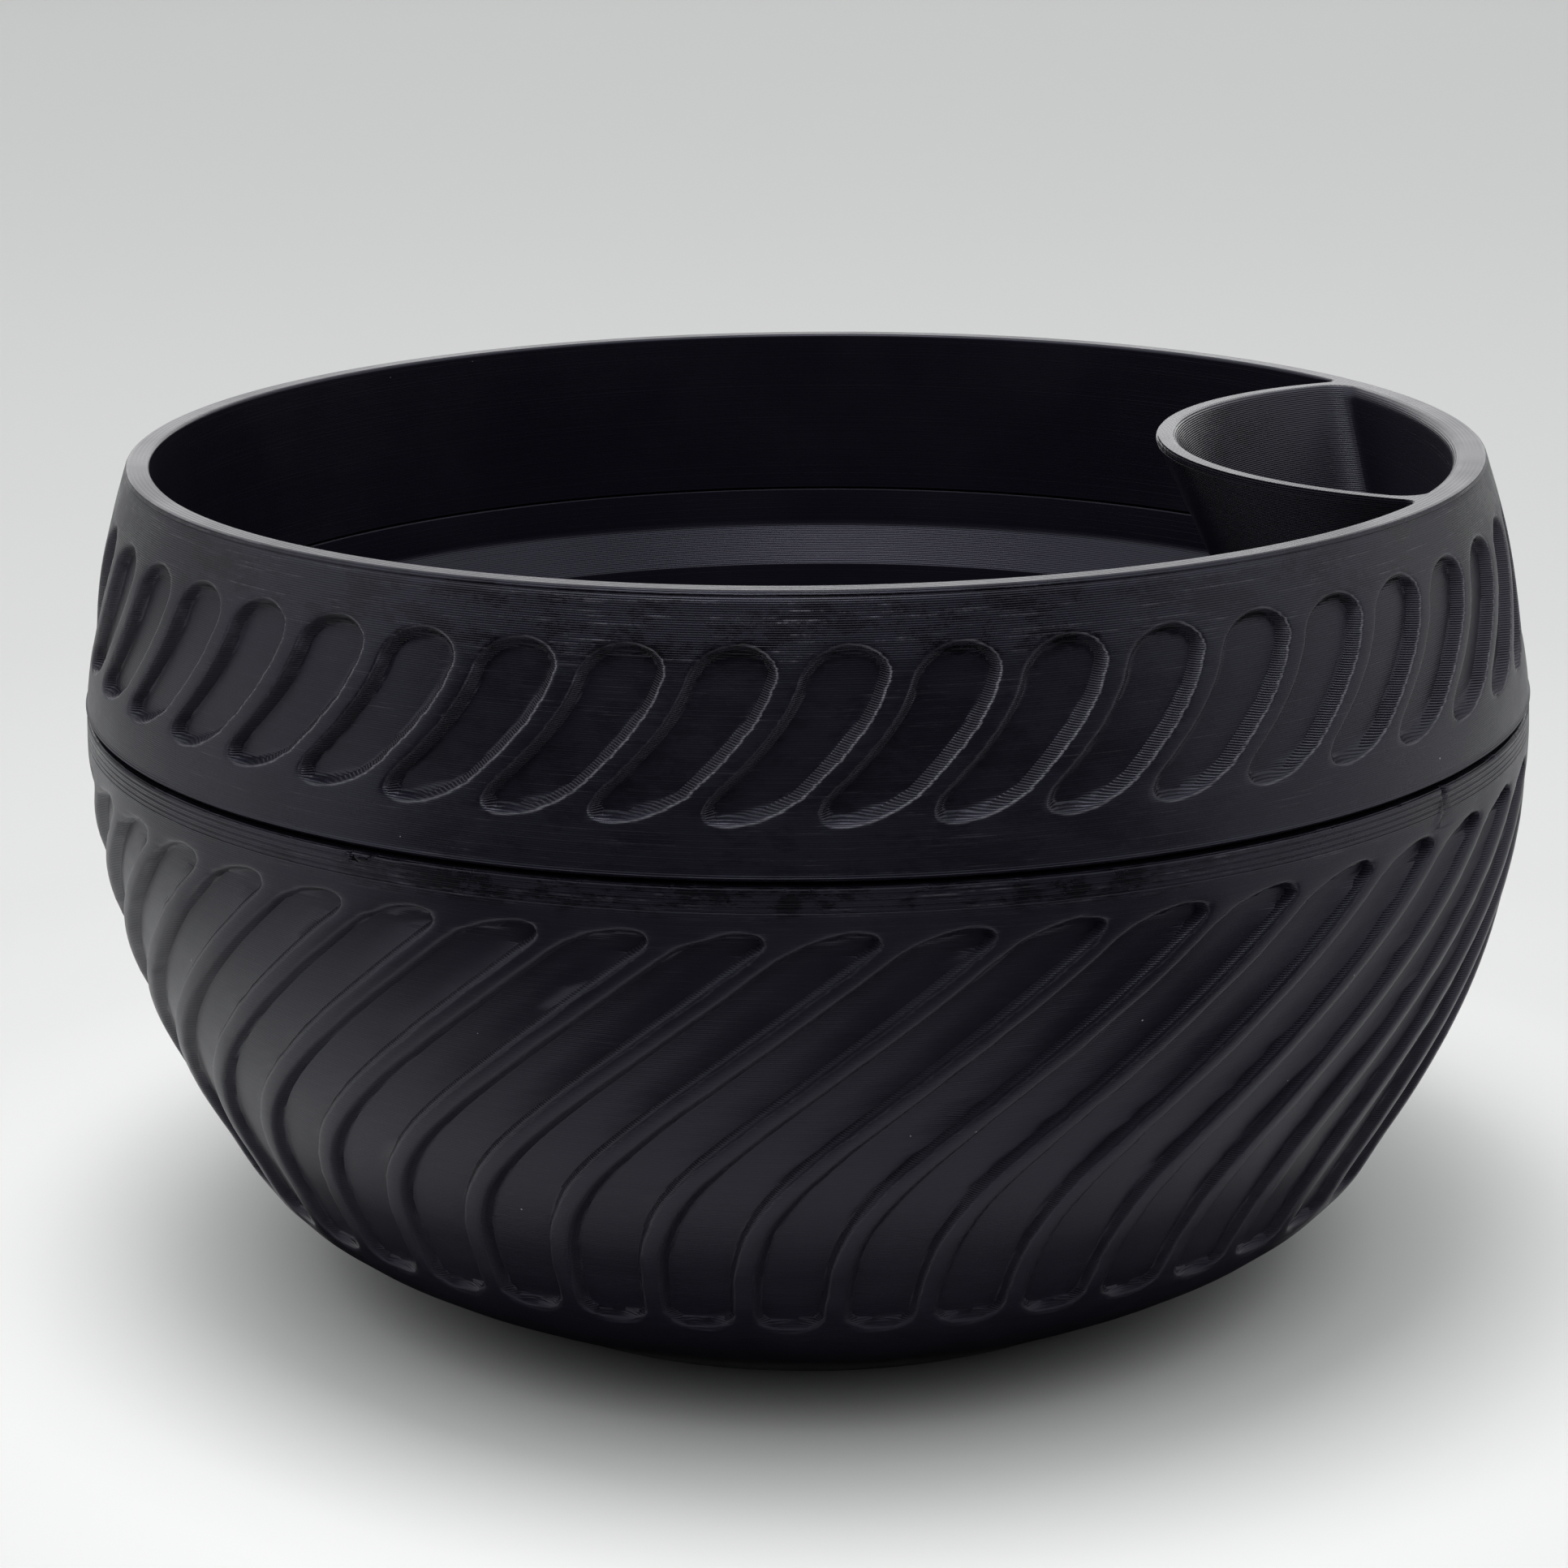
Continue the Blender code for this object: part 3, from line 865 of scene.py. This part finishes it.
def printed_plastic(name, seed, scuffed_from, scuffed_below, wall_beads_and_highlight, highlight_strength):
    """Black printed plastic: 0.2 mm layers on upright faces and rings of beads on flat ones.

    Above the height scuffed_from the layers are rubbed, with bright runs and dark patches, and
    below it only the share scuffed_below as much. The dark patches are smoother, and painted
    darker as a painted dark reflection. The beads stand out by wall_beads_and_highlight more
    millimetres on the recesses' walls, where their crests are also painted pale as a painted
    highlight, and highlight_strength is the strength of the painted highlight along the
    recesses' edges.
    """
    material = bpy.data.materials.new(name)
    graph = Graph(material)
    place = graph.node("ShaderNodeTexCoord").outputs["Object"]
    shifted = graph.node("ShaderNodeVectorMath", operation="ADD")
    graph.set(shifted.inputs[0], place)
    shifted.inputs[1].default_value = (seed, 0.0, 0.0)
    shifted = shifted.outputs[0]
    parts = graph.node("ShaderNodeSeparateXYZ")
    graph.set(parts.inputs[0], place)
    x, y, z = parts.outputs
    normal = graph.node("ShaderNodeSeparateXYZ")
    graph.set(normal.inputs[0], graph.node("ShaderNodeNewGeometry").outputs["True Normal"])
    level = graph.math("ABSOLUTE", normal.outputs["Z"])
    flat = graph.span(level, 0.93, 0.99)
    radius = graph.math("SQRT", graph.math("ADD", graph.math("MULTIPLY", x, x),
                                           graph.math("MULTIPLY", y, y)))

    outside, aside = facing(graph, normal, level, radius, x, y)
    layer = graph.math("DIVIDE", z, LAYER)
    index = graph.math("FLOOR", layer)
    runs, patches = wear_and_reflection_noises(graph, x, y, z, index, seed)
    rubbed = graph.span(z, scuffed_from - 1.0 * MM, scuffed_from + 0.5 * MM, scuffed_below, 1.0)
    rubbed = graph.math("MULTIPLY", rubbed, outside)
    run = graph.math("MULTIPLY", graph.span(runs, 0.54, 0.72), rubbed)
    patch = graph.math("MULTIPLY", graph.span(patches, 0.50, 0.53), rubbed)

    # Heights in millimetres: round beads one above the other, each at its own small offset.
    beads = graph.math("ABSOLUTE", graph.math("SINE", graph.math("MULTIPLY", layer, math.pi)))
    own = graph.node("ShaderNodeTexWhiteNoise", noise_dimensions="1D")
    graph.set(own.inputs["W"], index)
    strength = graph.math("ADD", 0.006, graph.math("MULTIPLY", run, 0.030))
    strength = graph.math("ADD", strength, graph.math("MULTIPLY", rubbed, 0.016))
    strength = graph.math("ADD", strength, graph.math("MULTIPLY", aside, wall_beads_and_highlight))
    strength = graph.math("ADD", strength, graph.span(normal.outputs["Z"], 0.15, 0.7, 0.0, 0.018))
    upright = graph.math("MULTIPLY", beads, strength)
    upright = graph.math("ADD", upright, graph.math("MULTIPLY", own.outputs["Value"], 0.007))
    rings = graph.math("DIVIDE", radius, BEAD_WIDTH)
    rings = graph.math("ABSOLUTE", graph.math("SINE", graph.math("MULTIPLY", rings, math.pi)))
    rings = graph.math("MULTIPLY", rings, 0.02)
    grain = graph.math("MULTIPLY", graph.noise(shifted, 2500.0, 2.0), 0.010)
    height = graph.node("ShaderNodeMix")
    graph.set(height.inputs["Factor"], flat)
    graph.set(height.inputs["A"], upright)
    graph.set(height.inputs["B"], rings)
    height = graph.math("ADD", height.outputs["Result"], grain)
    bump = graph.node("ShaderNodeBump")
    bump.inputs["Strength"].default_value = 1.0
    bump.inputs["Distance"].default_value = MM
    graph.set(bump.inputs["Height"], height)
    graph.set(graph.shader.inputs["Normal"], bump.outputs["Normal"])

    # Painted highlight: the layers' ends are painted pale along the recesses' edges.
    edge_line = painted_edge_highlight(graph, own.outputs["Value"], runs, highlight_strength)

    # Gloss varies in smudges a few centimetres wide, and dark patches are smoother; their darker
    # colour below is a painted dark reflection.
    smudge = graph.noise(shifted, 28.0, 4.0, 0.6)
    rough = graph.math("SUBTRACT", graph.span(smudge, 0.3, 0.7, 0.29, 0.40),
                       graph.math("MULTIPLY", patch, 0.06))
    graph.set(graph.shader.inputs["Roughness"], rough)

    speck = dust_specks(graph, shifted)
    wear = graph.span(smudge, 0.4, 0.75)
    colour = graph.mix(wear, PLASTIC, PLASTIC_WORN)
    # Painted dark reflection: the smoother patches are painted darker.
    colour = graph.mix(patch, colour, PAINTED_DARK_REFLECTION)
    # Pale layer crests: scuffs where rubbed, and a painted highlight on the recesses' walls.
    peak = graph.span(beads, 0.75, 1.0)
    pale = graph.math("MAXIMUM", run, graph.math("MULTIPLY", aside, 10.0 * wall_beads_and_highlight))
    colour = graph.mix(graph.math("MULTIPLY", pale, peak), colour, SCUFFS_AND_HIGHLIGHT)
    # Painted highlight along the recesses' edges.
    colour = graph.mix(edge_line, colour, EDGE_HIGHLIGHT)
    colour = graph.mix(speck, colour, DUST)
    graph.set(graph.shader.inputs["Base Color"], colour)
    graph.shader.inputs["Specular IOR Level"].default_value = 0.26
    graph.shader.inputs["Specular Tint"].default_value = (0.80, 0.79, 1.0, 1.0)
    return material


# ---- stage, light and camera ----------------------------------------------------------------
FLOOR_REACH = 2.0              # metres from the bowl's axis to the far end of the floor's painted light and shade


def stage_material():
    """Pale table with painted light: a painted pool of light brightest around the bowl, greyer with
    distance, and a painted contact shadow under its foot.
    """
    material = bpy.data.materials.new("pale_table")
    graph = Graph(material)
    parts = graph.node("ShaderNodeSeparateXYZ")
    graph.set(parts.inputs[0], graph.node("ShaderNodeTexCoord").outputs["Object"])
    x, y, _ = parts.outputs
    far = graph.math("SQRT", graph.math("ADD", graph.math("MULTIPLY", x, x),
                                        graph.math("MULTIPLY", y, y)))
    ramp_node = graph.node("ShaderNodeValToRGB")
    graph.set(ramp_node.inputs["Fac"], graph.math("DIVIDE", far, FLOOR_REACH))
    # Each stop is a distance from the bowl's axis, as a share of FLOOR_REACH, and a tone: the first
    # two are the painted contact shadow under the foot, the rest painted light, brightest near the
    # bowl.
    stops = [
        (0.0, 0.30), (0.02, 0.30), (0.03, 0.64), (0.045, 0.70), (0.06, 0.58),
        (0.08, 0.52), (0.15, 0.47), (0.22, 0.46), (0.42, 0.46), (0.85, 0.48),
    ]
    elements = ramp_node.color_ramp.elements
    while len(elements) < len(stops):
        elements.new(1.0)
    for element, (place, value) in zip(elements, stops):
        element.position = place
        element.color = (value, value, value * 0.985, 1.0)
    graph.set(graph.shader.inputs["Base Color"], ramp_node.outputs["Color"])
    graph.shader.inputs["Roughness"].default_value = 0.9
    graph.shader.inputs["Specular IOR Level"].default_value = 0.0
    return material


def stage():
    """A floor that rises into a wall far off on every side."""
    shell = Shell()
    floor_r, cove_r, wall_h = 2.4, 0.8, 1.6
    section = [(0.3, 0.0), (0.9, 0.0), (floor_r, 0.0)]
    for turn in np.linspace(0.0, math.pi / 2.0, 10)[1:]:
        section.append((floor_r + cove_r * math.sin(turn), cove_r * (1.0 - math.cos(turn))))
    section.append((floor_r + cove_r, wall_h))
    loops = [shell.circle(radius, z, 96) for radius, z in section]
    # Walked inwards from the wall's top, so that the faces look at the bowl.
    shell.run(loops[::-1])
    shell.lid([loops[0]], facing_up=True)
    floor = shell.build("floor")
    floor.location.z = BASE_Z
    floor.data.materials.append(stage_material())


def world():
    """Soft light from all round, brighter above and at the sides, dim from the front."""
    made = bpy.data.worlds.new("studio")
    bpy.context.scene.world = made
    graph = Graph(made)
    parts = graph.node("ShaderNodeSeparateXYZ")
    graph.set(parts.inputs[0], graph.node("ShaderNodeTexCoord").outputs["Generated"])
    x, y, z = parts.outputs
    left = graph.span(graph.math("MULTIPLY", x, -1.0), 0.2, 0.9, 0.0, 0.72)
    right = graph.span(x, 0.35, 0.95, 0.0, 0.70)
    back = graph.span(y, 0.0, 0.8, 0.0, 0.30)
    overhead = graph.math("SUBTRACT", z, graph.math("MULTIPLY", y, 0.25))
    top = graph.span(overhead, 0.40, 0.95, 0.0, 1.65)
    light = graph.math("ADD", graph.math("ADD", left, right), graph.math("ADD", back, top))
    light = graph.math("ADD", light, 0.08)
    background = graph.tree.nodes["Background"]
    background.inputs["Color"].default_value = (0.97, 0.985, 1.0, 1.0)
    graph.set(background.inputs["Strength"], light)


def lights():
    """A soft light overhead, and others behind and at the sides that only gloss shows."""
    def softbox(name, place, size, power, only_gloss=False):
        lamp = bpy.data.lights.new(name, "AREA")
        lamp.shape = "RECTANGLE"
        lamp.size, lamp.size_y = size
        lamp.energy = power
        made = bpy.data.objects.new(name, lamp)
        made.location = place
        made.visible_camera = False
        made.visible_diffuse = not only_gloss
        aim = -made.location
        made.rotation_euler = aim.to_track_quat("-Z", "Y").to_euler()
        bpy.context.scene.collection.objects.link(made)

    softbox("overhead", (-0.08, -0.1, 1.1), (0.55, 0.4), 5.5)
    softbox("behind", (0.0, 1.7, 0.55), (1.8, 0.8), 7.6, only_gloss=True)
    softbox("left", (-1.3, -0.25, 0.4), (1.5, 1.0), 3.2, only_gloss=True)
    softbox("right", (1.3, 0.05, 0.4), (1.5, 1.0), 3.2, only_gloss=True)


def shade_card():
    """Painted shade that only gloss shows: a dark card under the bowl's belly and in front, flat
    and upright, standing for the shade under the belly and on the table before the bowl.
    """
    shell = Shell()
    # Azimuths of the ends, and the section as distances from the axis and heights.
    for start, end, section in (
        (-76.0, 70.0, ((0.045, 0.001), (0.072, 0.001))),
        (-58.0, 52.0, ((0.13, 0.001), (0.62, 0.001), (0.62, 0.70))),
    ):
        turn = np.radians(np.linspace(start, end, 37))
        loops = [
            shell.loop(on_circle(radius, turn, np.full(len(turn), BASE_Z + height)))
            for radius, height in section
        ]
        for near, far in zip(loops, loops[1:]):
            shell.faces += np.stack([near[:-1], near[1:], far[1:], far[:-1]], axis=1).tolist()
    card = shell.build("shade_card")
    material = bpy.data.materials.new("shade_card")
    graph = Graph(material)
    graph.shader.inputs["Base Color"].default_value = (0.015, 0.015, 0.015, 1.0)
    graph.shader.inputs["Roughness"].default_value = 1.0
    graph.shader.inputs["Specular IOR Level"].default_value = 0.0
    card.data.materials.append(material)
    card.visible_camera = False
    card.visible_diffuse = False
    card.visible_shadow = False


def camera():
    """The photograph's view: place and lens were solved from the rim, joint and outline."""
    lens = bpy.data.cameras.new("view")
    lens.lens, lens.sensor_width = 85.49, 36.0
    made = bpy.data.objects.new("view", lens)
    made.location = (0.0, -388.0 * MM, 162.3 * MM)
    made.rotation_euler = [math.radians(a) for a in (73.921, 0.570, 0.218)]
    bpy.context.scene.collection.objects.link(made)
    bpy.context.scene.camera = made


bowl = lower_bowl()
bowl.data.materials.append(printed_plastic(
    "bowl_print", seed=0.0, scuffed_from=BOWL_EDGE_Z - 2.5 * MM, scuffed_below=0.12,
    wall_beads_and_highlight=0.016, highlight_strength=0.12,
))
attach(bowl, "bowl")
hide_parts("lower_bowl")

ring = rim_ring()
ring.data.materials.append(printed_plastic(
    "ring_print", seed=0.37, scuffed_from=82.6 * MM, scuffed_below=0.38,
    wall_beads_and_highlight=0.055, highlight_strength=0.8,
))
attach(ring, "ring")
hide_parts("rim_ring")

stage()
world()
lights()
shade_card()
camera()
bpy.context.scene.view_settings.view_transform = "Standard"
